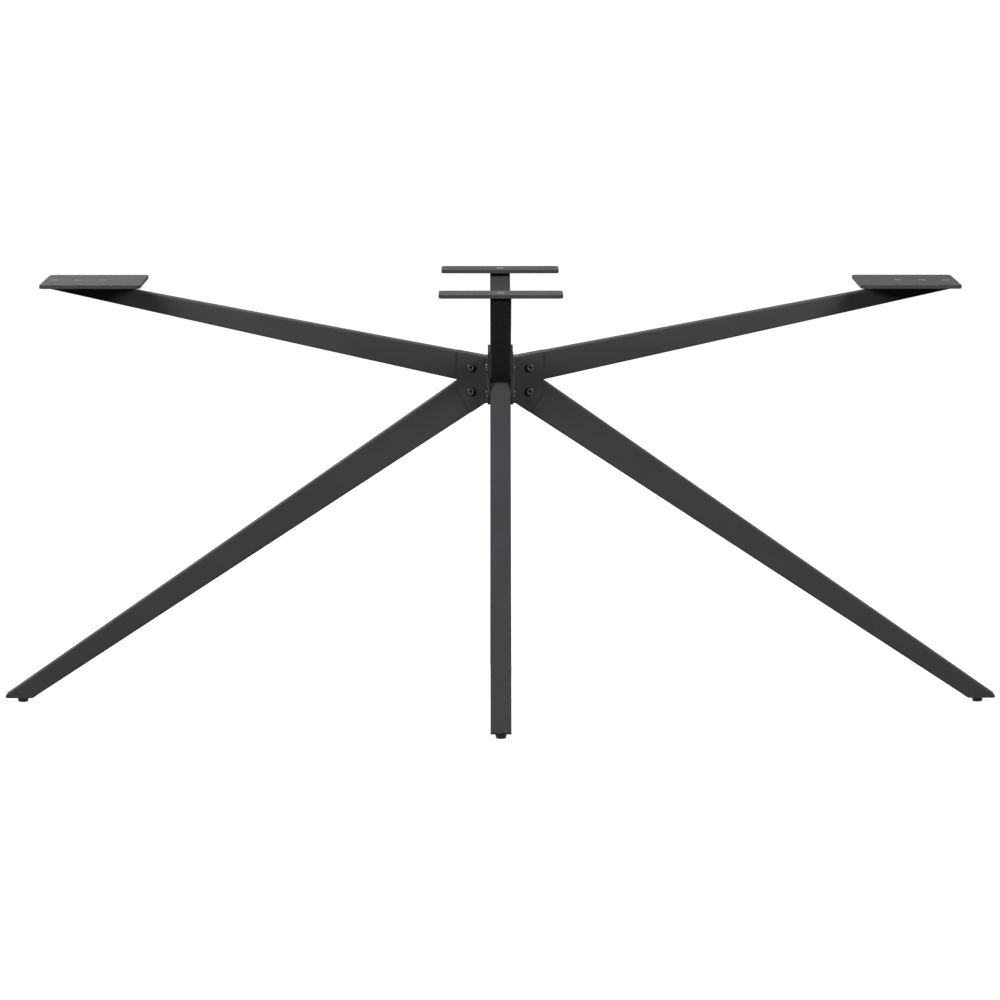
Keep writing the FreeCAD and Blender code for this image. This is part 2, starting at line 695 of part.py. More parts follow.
def write_parts():
    """Writes each sub-part to a file with its own name."""
    os.makedirs("parts", exist_ok=True)
    for part in parts:
        part.Shape.exportStep(f"parts/{part.Label}.step")
        print(f"{part.Label}: {len(part.Shape.Solids)} solids, {part.Shape.Volume:.0f} cubic mm")


sizes = write_sheet("Sizes", SIZES)
write_sheet("Worked", worked_rows())
masters = {"hub_screw": make_hub_screw(), "plate_screw": make_plate_screw(), "sleeve": make_sleeve()}
for unit in UNITS:
    make_unit(*unit, masters)
rear_right = make_bracket("rear_right_bracket", 0)
front_left = make_bracket("front_left_bracket", 2)
make_mirrored_bracket("front_right_bracket", rear_right)
make_mirrored_bracket("rear_left_bracket", front_left)
doc.recompute()
check_document()
write_parts()
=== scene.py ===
"""Looks of a four star table base: powder coated steel, dark screws and black plastic glides."""
import json
from math import atan2, cos, pi, radians, sin, sqrt, tan

import bmesh
import bpy
from bmesh.types import BMEdge, BMVert
from bpy.props import FloatProperty, FloatVectorProperty, IntProperty, PointerProperty
from mathutils import Matrix, Vector


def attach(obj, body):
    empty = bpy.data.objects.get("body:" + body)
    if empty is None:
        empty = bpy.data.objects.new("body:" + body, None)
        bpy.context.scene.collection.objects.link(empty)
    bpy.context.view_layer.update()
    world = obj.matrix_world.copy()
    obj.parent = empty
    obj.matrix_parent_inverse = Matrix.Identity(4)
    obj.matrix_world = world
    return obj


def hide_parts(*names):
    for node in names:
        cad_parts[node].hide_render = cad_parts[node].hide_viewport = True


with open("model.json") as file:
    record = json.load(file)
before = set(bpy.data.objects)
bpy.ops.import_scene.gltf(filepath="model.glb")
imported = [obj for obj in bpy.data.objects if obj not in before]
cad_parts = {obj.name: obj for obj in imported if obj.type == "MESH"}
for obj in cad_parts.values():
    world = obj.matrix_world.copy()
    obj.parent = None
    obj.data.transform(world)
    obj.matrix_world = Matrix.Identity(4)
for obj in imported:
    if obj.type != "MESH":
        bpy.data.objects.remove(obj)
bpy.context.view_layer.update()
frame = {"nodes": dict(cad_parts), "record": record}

bl_info = {
    "name": "Four Star Table Base",
    "version": (1, 0, 0),
    "blender": (4, 5, 0),
    "location": "3D View > Sidebar > Table Base",
    "description": "Builds the pieces of a bolted four star table base and lights it",
    "category": "Object",
}

# Name of each unit, its kind and its quarter turns about the upright axis
UNITS = (("right", "side", 0), ("left", "side", 2), ("rear", "end", 1), ("front", "end", 3))
# Name of each corner bracket and the signs of the quarter it stands in
CORNERS = (("rear_right", 1, 1), ("rear_left", -1, 1), ("front_right", 1, -1),
           ("front_left", -1, -1))
FINISH_NAMES = {
    "powder_coat": "Anthracite powder coat",
    "blackened_steel": "Blackened screw steel",
    "zinc_steel": "Zinc plated steel",
    "black_plastic": "Black moulded plastic",
}

# Sizes of a unit: key, name, description, and the default for a long and for a short unit
UNIT_SIZES = (
    ("arm_hub_height", "Arm height at hub", "Height of an arm's upper edge at its inner end",
     0.5825, 0.583),
    ("arm_top_reach", "Arm landing", "Reach at which an arm meets its top plate", 0.6605, 0.2142),
    ("arm_tip_reach", "Arm reach", "Reach of an arm's outer end", 0.754, 0.258),
    ("arm_tip_depth", "Arm tip depth", "Depth of an arm at its outer end", 0.0058, 0.0053),
    ("vertex_reach", "Vertex reach", "Reach of the inner corner between an arm and its leg",
     0.069, 0.048),
    ("leg_hub_height", "Leg height at hub", "Height of a leg's lower edge at its inner end",
     0.5095, 0.495),
    ("leg_inner_reach", "Leg inner reach", "Reach of a leg's lower edge at its sole",
     0.7848, 0.316),
    ("leg_outer_reach", "Leg outer reach", "Reach of a leg's upper edge at its sole",
     0.8367, 0.351),
    ("glide_reach", "Glide reach", "Reach of the glide", 0.802, 0.3348),
    ("plate_start", "Plate start", "Reach of the inner edge of a top plate", 0.591, 0.1945),
    ("plate_end", "Plate end", "Reach of the outer edge of a top plate", 0.757, 0.2745),
    ("screw_reach", "First plate screw", "Reach of the outermost screw of a top plate",
     0.740, 0.244),
    ("screw_step", "Plate screw step", "Distance between the screws of a top plate",
     0.040, 0.020),
    ("flange_reach", "Flange reach", "Reach of a bracket's flange on the unit", 0.071, 0.057),
    ("flange_corner", "Flange corner", "Height of the lower outer corner of that flange",
     0.527, 0.530),
    ("flange_foot", "Flange foot", "Reach of the lower edge of that flange", 0.048, 0.042),
    ("hub_screw_reach", "Hub screw reach", "Reach of the hub screws on the unit", 0.049, 0.038),
)

# Name of each lamp, the setting that holds its power, its place, its width and its height
LAMPS = (
    ("Front lamp", "front_power", (-3.4, -3.0, 2.4), 1.4, 1.4),
    ("Fill lamp", "fill_power", (2.4, -3.5, 2.8), 1.6, 1.6),
    ("Left lamp", "left_power", (-1.6, -1.4, 1.8), 0.8, 0.8),
    ("Right lamp", "right_power", (1.6, -1.4, 1.8), 0.8, 0.8),
    ("Back lamp", "back_power", (-2.2, 2.4, 3.2), 2.0, 1.6),
)
# Point that the lamps look at
LAMP_AIM = (0.0, 0.0, 0.4)
# Width of the camera's picture plane in millimetres, and how far the camera sees in metres
SENSOR_WIDTH = 36.0
SIGHT = 500.0
# Greys of the floor for seen light and for thrown back light, and white
PAPER = (0.45, 0.45, 0.45, 1.0)
DARK = (0.02, 0.02, 0.02, 1.0)
WHITE = (1.0, 1.0, 1.0, 1.0)

# Segments of each kind of rounding
LONG_EDGE_SEGMENTS = 5
JOINT_SEGMENTS = 2
RIM_SEGMENTS = 3
CORNER_SEGMENTS = 10
BEND_SEGMENTS = 10
DOME_SEGMENTS = 8
# Angle past which an edge is rounded on a section, a bracket and a plate
SECTION_ANGLE = radians(35)
BRACKET_ANGLE = radians(50)
PLATE_ANGLE = radians(60)
# A face is level when the upright part of its normal is larger
LEVEL = 0.999
# Distances that count as none, in metres: when edges are looked for, and when vertices merge
SAME_PLACE = 1e-6
MERGED = 1e-7
# Sides of a socket, and the cone at its foot: depth as a share of the socket's, and narrowing
HEXAGON = 6
CONE_SHARE = 0.25
CONE_NARROWING = 0.3
# Powder grains to one dimple of the orange peel, and to one cloud of the film
PEEL_GRAINS = 4
FILM_GRAINS = 60
# How far the roughness of the powder coat strays from its middle
POWDER_STRAY = 0.05
# Span of a noise texture that a pattern uses
NOISE_LOW = 0.3
NOISE_HIGH = 0.7
# Places of the two colours and of the mixed one among the sockets of a Mix node
MIX_FIRST = 6
MIX_SECOND = 7
MIX_RESULT = 2


def length(name, description, default):
    """A length property, in metres."""
    return FloatProperty(name=name, description=description, default=default, min=0.0,
                         unit="LENGTH", subtype="DISTANCE", precision=5)


def unit_properties(column, screws):
    """Properties of one kind of unit, with the defaults of a column of UNIT_SIZES."""
    sizes = {key: length(name, description, defaults[column])
             for key, name, description, *defaults in UNIT_SIZES}
    sizes["screw_count"] = IntProperty(
        name="Plate screws", description="Screws that hold a top plate", default=screws, min=1)
    return sizes


class TABLEBASE_PG_section(bpy.types.PropertyGroup):
    """Box section that every arm and leg is made of."""
    width: length("Width", "Width of an arm or a leg across its flat faces", 0.034)
    edge_radius: length("Edge radius", "Rounding of the long edges of the section", 0.0025)
    joint_bevel: length(
        "Joint bevel", "Fine bevel of the sawn ends, which shows as a joint line", 0.0003)
    hub_gap: length("Hub gap", "Distance of the inner ends from the middle of the hub", 0.020)
    mitre_height: length("Mitre height", "Height of the joint between an arm and its leg", 0.5448)
    sole_height: length("Sole height", "Height of the lower face of a sole plate", 0.008)
    sole_thickness: length("Sole thickness", "Thickness of a sole plate", 0.006)
    sole_nose_radius: length(
        "Sole nose radius", "Rounding of the outer lower edge of a sole plate", 0.0029)


class TABLEBASE_PG_side_unit(bpy.types.PropertyGroup):
    """Outline of the two long units."""
    __annotations__ = unit_properties(0, screws=3)


class TABLEBASE_PG_end_unit(bpy.types.PropertyGroup):
    """Outline of the two short units."""
    __annotations__ = unit_properties(1, screws=2)


class TABLEBASE_PG_plate(bpy.types.PropertyGroup):
    """Flat plates under the table top."""
    top: length("Top height", "Height of the upper face", 0.710)
    thickness: length("Thickness", "Thickness of a plate", 0.006)
    width: length("Width", "Width of a plate across its arm", 0.200)
    corner_radius: length("Corner radius", "Radius of the corners", 0.008)
    rim_radius: length("Rim radius", "Rounding that the coating gives the cut edges", 0.0006)
    hole_radius: length(
        "Hole radius", "Radius of the four holes for the table top's screws", 0.0035)
    hole_inset: length("Hole inset", "Distance of those holes from the edges", 0.020)
    screw_hole_radius: length("Screw hole radius", "Radius of the holes over the arm", 0.0033)
    countersink_radius: length(
        "Countersink radius", "Radius of the countersinks over the arm", 0.0065)


class TABLEBASE_PG_bracket(bpy.types.PropertyGroup):
    """Bent corner brackets at the hub."""
    thickness: length("Thickness", "Thickness of the bent sheet", 0.004)
    bend_radius: length("Bend radius", "Radius of the hollow side of the bend", 0.004)
    edge_radius: length("Edge radius", "Rounding of the cut edges", 0.0005)
    tip_drop: length(
        "Tip drop", "How far a flange's tip stays under the upper edge of a short arm", 0.0095)


class TABLEBASE_PG_fasteners(bpy.types.PropertyGroup):
    """Screws and glides."""
    hub_upper_height: length("Upper hub screws", "Height of the upper screws at the hub", 0.5665)
    hub_lower_height: length("Lower hub screws", "Height of the lower screws at the hub", 0.5265)
    hub_head_radius: length("Hub head radius", "Radius of a button head", 0.00725)
    hub_head_height: length("Hub head height", "Height of a button head", 0.0044)
    hub_head_flat: length("Hub head flat", "Radius of the flat on top of a button head", 0.0040)
    hub_head_rim: length("Hub head rim", "Height of the upright rim of a button head", 0.0009)
    hub_shank_radius: length("Hub shank radius", "Radius of a hub screw's shank", 0.004)
    hub_shank_length: length("Hub shank length", "Length of a hub screw under its head", 0.016)
    hub_socket: length("Hub socket", "Width of the hexagon socket across its flats", 0.005)
    hub_socket_depth: length("Hub socket depth", "Depth of the hexagon socket", 0.0040)
    plate_head_radius: length("Plate head radius", "Radius of a countersunk head", 0.0062)
    plate_head_rim: length(
        "Plate head rim", "Height of the upright rim of a countersunk head", 0.0004)
    plate_shank_radius: length(
        "Plate shank radius", "Radius of a countersunk screw's shank", 0.003)
    plate_shank_length: length("Plate screw length", "Length of a countersunk screw", 0.010)
    plate_socket: length("Plate socket", "Width of the hexagon socket across its flats", 0.004)
    plate_socket_depth: length("Plate socket depth", "Depth of the hexagon socket", 0.0024)
    easing: length("Easing", "Small chamfer that eases the turned edges", 0.0003)
    tip_chamfer: length("Tip chamfer", "Chamfer at the end of a screw or a stud", 0.0007)
    glide_collar: length("Glide collar", "Height of the upright collar of a glide", 0.0018)
    glide_recess: length("Glide recess", "Depth of the recess under a glide", 0.0004)
    glide_top_radius: length(
        "Glide top radius", "Radius of a glide where it meets its sole plate", 0.0097)
    glide_foot_radius: length("Glide foot radius", "Radius of a glide on the floor", 0.0082)
    stud_radius: length("Stud radius", "Radius of a glide's stud", 0.004)
    stud_length: length(
        "Stud length", "Length of a glide's stud over the sole's lower face", 0.012)
    turning_steps: IntProperty(
        name="Turning steps", description="Facets round a turned piece", default=48, min=12)


class TABLEBASE_PG_finishes(bpy.types.PropertyGroup):
    """Colours and textures of the materials."""
    powder_colour: FloatVectorProperty(
        name="Powder colour", description="Colour of the powder coat",
        subtype="COLOR", default=(0.060, 0.058, 0.064), min=0.0, max=1.0)
    powder_roughness: FloatProperty(
        name="Powder roughness", description="Middle roughness of the powder coat",
        default=0.65, min=0.0, max=1.0, subtype="FACTOR")
    powder_grain: FloatProperty(
        name="Powder grain", description="Grains of the powder coat in a metre",
        default=900.0, min=1.0)
    steel_colour: FloatVectorProperty(
        name="Screw colour", description="Colour of the blackened screws",
        subtype="COLOR", default=(0.010, 0.010, 0.011), min=0.0, max=1.0)
    zinc_colour: FloatVectorProperty(
        name="Zinc colour", description="Colour of the tapped sleeves",
        subtype="COLOR", default=(0.62, 0.63, 0.65), min=0.0, max=1.0)
    plastic_colour: FloatVectorProperty(
        name="Plastic colour", description="Colour of the glides",
        subtype="COLOR", default=(0.006, 0.006, 0.006), min=0.0, max=1.0)


class TABLEBASE_PG_stage(bpy.types.PropertyGroup):
    """Camera, lamps and floor."""
    camera_place: FloatVectorProperty(
        name="Camera place", description="Where the camera stands",
        subtype="TRANSLATION", unit="LENGTH", default=(-0.022, -7.6183, 1.3829))
    camera_pitch: FloatProperty(
        name="Camera pitch", description="How far the camera looks down",
        subtype="ANGLE", default=0.1359)
    camera_yaw: FloatProperty(
        name="Camera yaw", description="How far the camera is turned to the right",
        subtype="ANGLE", default=0.0028)
    camera_lens: FloatProperty(
        name="Camera lens", description="Focal length in millimetres", default=165.6, min=1.0)
    front_power: FloatProperty(
        name="Front power", description="Power of the lamp at the front left",
        unit="POWER", default=50.0, min=0.0)
    fill_power: FloatProperty(
        name="Fill power", description="Power of the lamp at the front right",
        unit="POWER", default=38.0, min=0.0)
    left_power: FloatProperty(
        name="Left power", description="Power of the near lamp at the left",
        unit="POWER", default=27.0, min=0.0)
    right_power: FloatProperty(
        name="Right power", description="Power of the near lamp at the right",
        unit="POWER", default=31.0, min=0.0)
    back_power: FloatProperty(
        name="Back power", description="Power of the lamp behind at the left",
        unit="POWER", default=153.0, min=0.0)
    room_light: FloatProperty(
        name="Room light", description="Light of the room on matte surfaces",
        default=0.06, min=0.0)
    floor_glow: FloatProperty(
        name="Floor glow", description="Own brightness of the floor round the object",
        default=0.86, min=0.0, max=1.0, subtype="FACTOR")
    glow_start: length("Glow start", "Distance at which the floor begins to turn white", 0.9)
    glow_end: length("Glow end", "Distance from which the floor is white", 2.4)
    floor_width: length("Floor width", "Width of the floor", 160.0)


class TABLEBASE_PG_settings(bpy.types.PropertyGroup):
    """All that can be changed on the table base."""
    section: PointerProperty(type=TABLEBASE_PG_section)
    side: PointerProperty(type=TABLEBASE_PG_side_unit)
    end: PointerProperty(type=TABLEBASE_PG_end_unit)
    plate: PointerProperty(type=TABLEBASE_PG_plate)
    bracket: PointerProperty(type=TABLEBASE_PG_bracket)
    fasteners: PointerProperty(type=TABLEBASE_PG_fasteners)
    finishes: PointerProperty(type=TABLEBASE_PG_finishes)
    stage: PointerProperty(type=TABLEBASE_PG_stage)


def only(items, kind):
    """The vertices or the edges among the items that an operator returns."""
    return [item for item in items if isinstance(item, kind)]


def draw_out(bm, vec):
    """Draws a flat outline out along a vector."""
    drawn = bmesh.ops.extrude_face_region(bm, geom=bm.faces[:])["geom"]
    bmesh.ops.translate(bm, verts=only(drawn, BMVert), vec=vec)
    bmesh.ops.recalc_face_normals(bm, faces=bm.faces)


def draw_section(bm, corners, width):
    """Draws an outline, given as x and z, out to both sides of the plane of its unit."""
    bm.faces.new([bm.verts.new((x, -width / 2, z)) for x, z in corners])
    draw_out(bm, (0.0, width, 0.0))


def round_edges(bm, edges, radius, segments):
    """Rounds edges with a bevel of a radius."""
    bmesh.ops.bevel(bm, geom=edges, offset=radius, offset_type="OFFSET", affect="EDGES",
                    segments=segments, profile=0.5, material=-1, clamp_overlap=True)


def sharp_edges(bm, angle=SECTION_ANGLE):
    """Edges that two faces share at more than an angle."""
    return [edge for edge in bm.edges
            if len(edge.link_faces) == 2 and edge.calc_face_angle() > angle]


def long_side_edges(bm, width):
    """Edges that run along a section in its side faces."""
    return [edge for edge in bm.edges if edge.calc_length() > 2 * width
            and abs(abs(edge.verts[0].co.y) - width / 2) < SAME_PLACE
            and abs(edge.verts[0].co.y - edge.verts[1].co.y) < SAME_PLACE]


def ease_section(bm, section):
    """Rounds the long edges of an arm or a leg and bevels its sawn ends."""
    round_edges(bm, long_side_edges(bm, section.width), section.edge_radius, LONG_EDGE_SEGMENTS)
    round_edges(bm, sharp_edges(bm), section.joint_bevel, JOINT_SEGMENTS)


def turn_about_hub(bm, quarter_turns):
    """Turns a piece about the upright axis of the base."""
    bmesh.ops.rotate(bm, verts=bm.verts, cent=(0, 0, 0),
                     matrix=Matrix.Rotation(quarter_turns * pi / 2, 3, "Z"))


def spin_profile(bm, profile, steps):
    """Turns a profile of radius and height about the upright axis."""
    verts = [bm.verts.new((radius, 0.0, height)) for radius, height in profile]
    edges = [bm.edges.new(pair) for pair in zip(verts, verts[1:])]
    bmesh.ops.spin(bm, geom=verts + edges, cent=(0, 0, 0), axis=(0, 0, 1), angle=2 * pi,
                   steps=steps, use_merge=True, use_normal_flip=False, use_duplicate=False)
    bmesh.ops.remove_doubles(bm, verts=bm.verts, dist=MERGED)


def open_edges(bm, height):
    """Edges with one face, all at one height."""
    return [edge for edge in bm.edges if len(edge.link_faces) < 2
            and all(abs(vert.co.z - height) < MERGED for vert in edge.verts)]


def close_flat(bm, height):
    """Fills the open loops at a height with one flat face that leaves their holes open."""
    bmesh.ops.triangle_fill(bm, use_beauty=True, use_dissolve=False,
                            edges=open_edges(bm, height), normal=(0.0, 0.0, 1.0))


def add_ring(bm, place, radius, steps):
    """An open circle at a place; returns its edges."""
    verts = bmesh.ops.create_circle(bm, cap_ends=False, segments=steps, radius=radius,
                                    matrix=Matrix.Translation(place))["verts"]
    return list({edge for vert in verts for edge in vert.link_edges})


def draw_ring_down(bm, edges, drop, scale=1.0):
    """Carries a ring of edges down, narrowed by a scale; returns the new ring."""
    drawn = bmesh.ops.extrude_edge_only(bm, edges=edges)["geom"]
    verts = only(drawn, BMVert)
    middle = sum((vert.co for vert in verts), Vector()) / len(verts)
    bmesh.ops.scale(bm, verts=verts, vec=(scale, scale, 1.0), space=Matrix.Translation(-middle))
    bmesh.ops.translate(bm, verts=verts, vec=(0.0, 0.0, -drop))
    return only(drawn, BMEdge)


def sink_socket(bm, top, size, depth):
    """Closes the top of a head round a hexagon socket."""
    ring = add_ring(bm, (0.0, 0.0, top), size / sqrt(3), HEXAGON)
    ring = draw_ring_down(bm, ring, depth)
    close_flat(bm, top)
    ring = draw_ring_down(bm, ring, depth * CONE_SHARE, CONE_NARROWING)
    bmesh.ops.contextual_create(bm, geom=ring)
    bmesh.ops.recalc_face_normals(bm, faces=bm.faces)


def sink_hole(bm, place, mouth, bore, depth, steps):
    """A round hole through a plate, with a cone at its mouth that is as deep as it is wide."""
    cone = mouth - bore
    ring = draw_ring_down(bm, add_ring(bm, place, mouth, steps), cone, bore / mouth)
    draw_ring_down(bm, ring, depth - cone)


def mark_creases(bm, broad=3e-5, shallow=radians(4), steep=radians(38)):
    """Shades smooth, and keeps an edge sharp where it is steep or where two broad flats meet."""
    for face in bm.faces:
        face.smooth = True
    for edge in bm.edges:
        if len(edge.link_faces) == 2:
            flats = min(face.calc_area() for face in edge.link_faces) > broad
            edge.smooth = edge.calc_face_angle() < (shallow if flats else steep)


def add_copies(bm, places):
    """Repeats the mesh at each place and leaves out the first one."""
    first = bm.verts[:] + bm.edges[:] + bm.faces[:]
    for place in places:
        copy = bmesh.ops.duplicate(bm, geom=first)["geom"]
        bmesh.ops.transform(bm, matrix=place, verts=only(copy, BMVert))
    bmesh.ops.delete(bm, geom=only(first, BMVert), context="VERTS")


def add_piece(context, bm, name, node, slot):
    """Makes a finished mesh the visible piece for a node of the frame."""
    mark_creases(bm)
    mesh = bpy.data.meshes.new(name)
    bm.to_mesh(mesh)
    bm.free()
    if not mesh.polygons:
        raise RuntimeError(f"{name} has no faces")
    mesh.materials.append(finish(slot))
    piece = bpy.data.objects.new(name, mesh)
    context.scene.collection.objects.link(piece)
    shading = piece.modifiers.new("Even shading", "WEIGHTED_NORMAL")
    shading.keep_sharp = True
    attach(piece, "root")
    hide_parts(node)


def finish(slot):
    """The material of a finish, which the first operator has made."""
    material = bpy.data.materials.get(FINISH_NAMES[slot])
    if material is None:
        raise RuntimeError(f"the finish {slot} isn't made yet")
    return material


class Nodes:
    """Short way to add and join the nodes of one tree."""

    def __init__(self, block):
        """Clears the tree of a material or a world."""
        block.use_nodes = True
        self.tree = block.node_tree
        self.tree.nodes.clear()

    def add(self, kind, label="", **values):
        """A node with its label and its attributes set."""
        node = self.tree.nodes.new(kind)
        node.label = label
        for key, value in values.items():
            setattr(node, key, value)
        return node

    def feed(self, node, **inputs):
        """Sets or joins inputs by name, with underscores for spaces."""
        for key, value in inputs.items():
            socket = node.inputs[key.replace("_", " ")]
            if isinstance(value, bpy.types.NodeSocket):
                self.tree.links.new(value, socket)
            else:
                socket.default_value = value
        return node

    def join(self, node, *outputs):
        """Joins outputs to the first inputs of a node, in their order; returns its output."""
        for output, socket in zip(outputs, node.inputs):
            self.tree.links.new(output, socket)
        return node.outputs[0]

    def place(self, label="Place on the piece"):
        """The Object coordinates that the patterns read."""
        return self.add("ShaderNodeTexCoord", label).outputs["Object"]

    def noise(self, coordinates, label, scale, detail, roughness=0.5):
        """A noise texture."""
        node = self.add("ShaderNodeTexNoise", label)
        self.feed(node, Vector=coordinates, Scale=scale, Detail=detail, Roughness=roughness)
        return node.outputs["Fac"]

    def ramp(self, value, label, low, high):
        """Spreads a noise between two limits."""
        node = self.add("ShaderNodeMapRange", label)
        self.feed(node, Value=value, From_Min=NOISE_LOW, From_Max=NOISE_HIGH,
                  To_Min=low, To_Max=high)
        return node.outputs["Result"]

    def tone(self, noise, name, colour, darker, lighter):
        """A colour that a noise makes a little darker and lighter."""
        node = self.add("ShaderNodeMix", f"{name} colour", data_type="RGBA")
        self.feed(node, Factor=self.ramp(noise, f"{name} tone", low=0.0, high=1.0))
        for socket, factor in ((MIX_FIRST, darker), (MIX_SECOND, lighter)):
            shade = [min(channel * factor, 1.0) for channel in colour]
            node.inputs[socket].default_value = (*shade, 1.0)
        return node.outputs[MIX_RESULT]

    def bump(self, height, label, strength, distance, **under):
        """A bump from a height, over another one where a Normal is given."""
        node = self.add("ShaderNodeBump", label)
        self.feed(node, Height=height, Strength=strength, Distance=distance, **under)
        return node.outputs["Normal"]

    def end(self, kind, surface):
        """The output, fed by a surface."""
        self.feed(self.add(kind, "Output"), Surface=surface)

    def principled(self, **inputs):
        """The surface shader of a finish and the output."""
        shader = self.feed(self.add("ShaderNodeBsdfPrincipled", "Surface"), **inputs)
        self.end("ShaderNodeOutputMaterial", shader.outputs[0])


def make_powder_coat(settings):
    """Fine textured powder coat: a matte dark film with a soft orange peel and tiny grains."""
    nodes = Nodes(bpy.data.materials.new(FINISH_NAMES["powder_coat"]))
    place, grains = nodes.place(), settings.powder_grain
    grain = nodes.noise(place, "Powder grain", scale=grains, detail=2.0, roughness=0.6)
    peel = nodes.noise(place, "Orange peel", scale=grains / PEEL_GRAINS, detail=1.0)
    film = nodes.noise(place, "Film thickness", scale=grains / FILM_GRAINS, detail=3.0)
    nodes.principled(
        Base_Color=nodes.tone(film, "Film", settings.powder_colour, darker=0.94, lighter=1.06),
        Roughness=nodes.ramp(grain, "Grain sheen", low=settings.powder_roughness - POWDER_STRAY,
                             high=settings.powder_roughness + POWDER_STRAY),
        Specular_IOR_Level=0.04,
        Normal=nodes.bump(
            grain, "Grain relief", strength=0.12, distance=0.0002,
            Normal=nodes.bump(peel, "Peel relief", strength=0.08, distance=0.0004)))


def make_blackened_steel(settings):
    """Blackened screw steel with an oily sheen and slight blotches."""
    nodes = Nodes(bpy.data.materials.new(FINISH_NAMES["blackened_steel"]))
    place = nodes.place()
    blotch = nodes.noise(place, "Oxide blotches", scale=420.0, detail=3.0)
    grain = nodes.noise(place, "Forging grain", scale=2600.0, detail=2.0)
    nodes.principled(
        Base_Color=nodes.tone(blotch, "Oxide", settings.steel_colour, darker=0.8, lighter=1.2),
        Roughness=nodes.ramp(blotch, "Oxide sheen", low=0.22, high=0.32),
        Specular_IOR_Level=0.48,
        Normal=nodes.bump(grain, "Forging relief", strength=0.1, distance=0.0001))


def make_zinc_steel(settings):
    """Zinc plated steel with the soft spangle of a plated bar."""
    nodes = Nodes(bpy.data.materials.new(FINISH_NAMES["zinc_steel"]))
    spangle = nodes.noise(nodes.place(), "Zinc spangle", scale=700.0, detail=2.0)
    nodes.principled(
        Base_Color=nodes.tone(spangle, "Zinc", settings.zinc_colour, darker=0.9, lighter=1.05),
        Metallic=1.0,
        Roughness=nodes.ramp(spangle, "Zinc sheen", low=0.26, high=0.42),
        Normal=nodes.bump(spangle, "Plating relief", strength=0.08, distance=0.0002))


def make_black_plastic(settings):
    """Moulded black plastic with a fine spark texture."""
    nodes = Nodes(bpy.data.materials.new(FINISH_NAMES["black_plastic"]))
    place = nodes.place()
    spark = nodes.noise(place, "Mould texture", scale=3200.0, detail=2.0)
    flow = nodes.noise(place, "Moulding flow", scale=160.0, detail=2.0)
    nodes.principled(
        Base_Color=nodes.tone(flow, "Plastic", settings.plastic_colour, darker=0.8, lighter=1.3),
        Roughness=nodes.ramp(spark, "Mould sheen", low=0.36, high=0.48),
        Specular_IOR_Level=0.20,
        Normal=nodes.bump(spark, "Mould relief", strength=0.12, distance=0.0001))


class TABLEBASE_OT_finishes(bpy.types.Operator):
    """Makes the four materials and gives each node of the frame its own"""
    bl_idname = "table_base.finishes"
    bl_label = "Make Finishes"

    def execute(self, context):
        settings = context.scene.table_base.finishes
        make_powder_coat(settings)
        make_blackened_steel(settings)
        make_zinc_steel(settings)
        make_black_plastic(settings)
        slots = {part["node"]: part["material_slot"] for part in frame["record"]["subparts"]}
        for name, node in frame["nodes"].items():
            node.data.materials.clear()
            node.data.materials.append(finish(slots[name]))
        return {"FINISHED"}


def plate_underside(settings):
    """Height of the lower faces of the top plates."""
    return settings.plate.top - settings.plate.thickness


class TABLEBASE_OT_arms(bpy.types.Operator):
    """Builds the four upper arms"""
    bl_idname = "table_base.arms"
    bl_label = "Build Upper Arms"

    def execute(self, context):
        settings = context.scene.table_base
        section = settings.section
        underside = plate_underside(settings)
        for name, kind, turns in UNITS:
            unit = getattr(settings, kind)
            bm = bmesh.new()
            draw_section(bm, [
                (section.hub_gap, section.mitre_height),
                (unit.vertex_reach, section.mitre_height),
                (unit.arm_tip_reach, underside - unit.arm_tip_depth),
                (unit.arm_tip_reach, underside),
                (unit.arm_top_reach, underside),
                (section.hub_gap, unit.arm_hub_height),
            ], section.width)
            ease_section(bm, section)
            turn_about_hub(bm, turns)
            add_piece(context, bm, f"{name}_upper_arm", f"{name}_arm", "powder_coat")
        return {"FINISHED"}


class TABLEBASE_OT_legs(bpy.types.Operator):
    """Builds the four lower legs"""
    bl_idname = "table_base.legs"
    bl_label = "Build Lower Legs"

    def execute(self, context):
        settings = context.scene.table_base
        section = settings.section
        rise = section.sole_thickness
        for name, kind, turns in UNITS:
            unit = getattr(settings, kind)
            inner, outer = sole_runs(section, unit)
            bm = bmesh.new()
            draw_section(bm, [
                (section.hub_gap, section.mitre_height),
                (section.hub_gap, unit.leg_hub_height),
                (unit.leg_inner_reach - rise * inner, section.sole_height + rise),
                (unit.leg_outer_reach - rise * outer, section.sole_height + rise),
                (unit.vertex_reach, section.mitre_height),
            ], section.width)
            ease_section(bm, section)
            turn_about_hub(bm, turns)
            add_piece(context, bm, f"{name}_lower_leg", f"{name}_leg", "powder_coat")
        return {"FINISHED"}


def sole_runs(section, unit):
    """How far the inner and the outer edge of a leg run out for each metre of height."""
    low = section.sole_height
    inner = (unit.leg_inner_reach - section.hub_gap) / (unit.leg_hub_height - low)
    outer = (unit.leg_outer_reach - unit.vertex_reach) / (section.mitre_height - low)
    return inner, outer


def round_nose(bm, reach, angle, radius):
    """Rounds the outer lower edge of a sole: one flat cut, then both of its edges."""
    nose = [edge for edge in bm.edges
            if all(abs(vert.co.x - reach) < SAME_PLACE for vert in edge.verts)]
    cut = (radius / sin(angle / 2) - radius) / cos(angle / 2)
    flat = bmesh.ops.bevel(bm, geom=nose, offset=cut, offset_type="OFFSET", affect="EDGES",
                           segments=1, profile=0.5, material=-1)["faces"]
    width = max(edge.calc_length() for edge in flat[0].edges)
    long_edges = [edge for edge in flat[0].edges
                  if abs(edge.calc_length() - width) < SAME_PLACE]
    round_edges(bm, long_edges, radius * tan((pi - angle) / 4), LONG_EDGE_SEGMENTS)


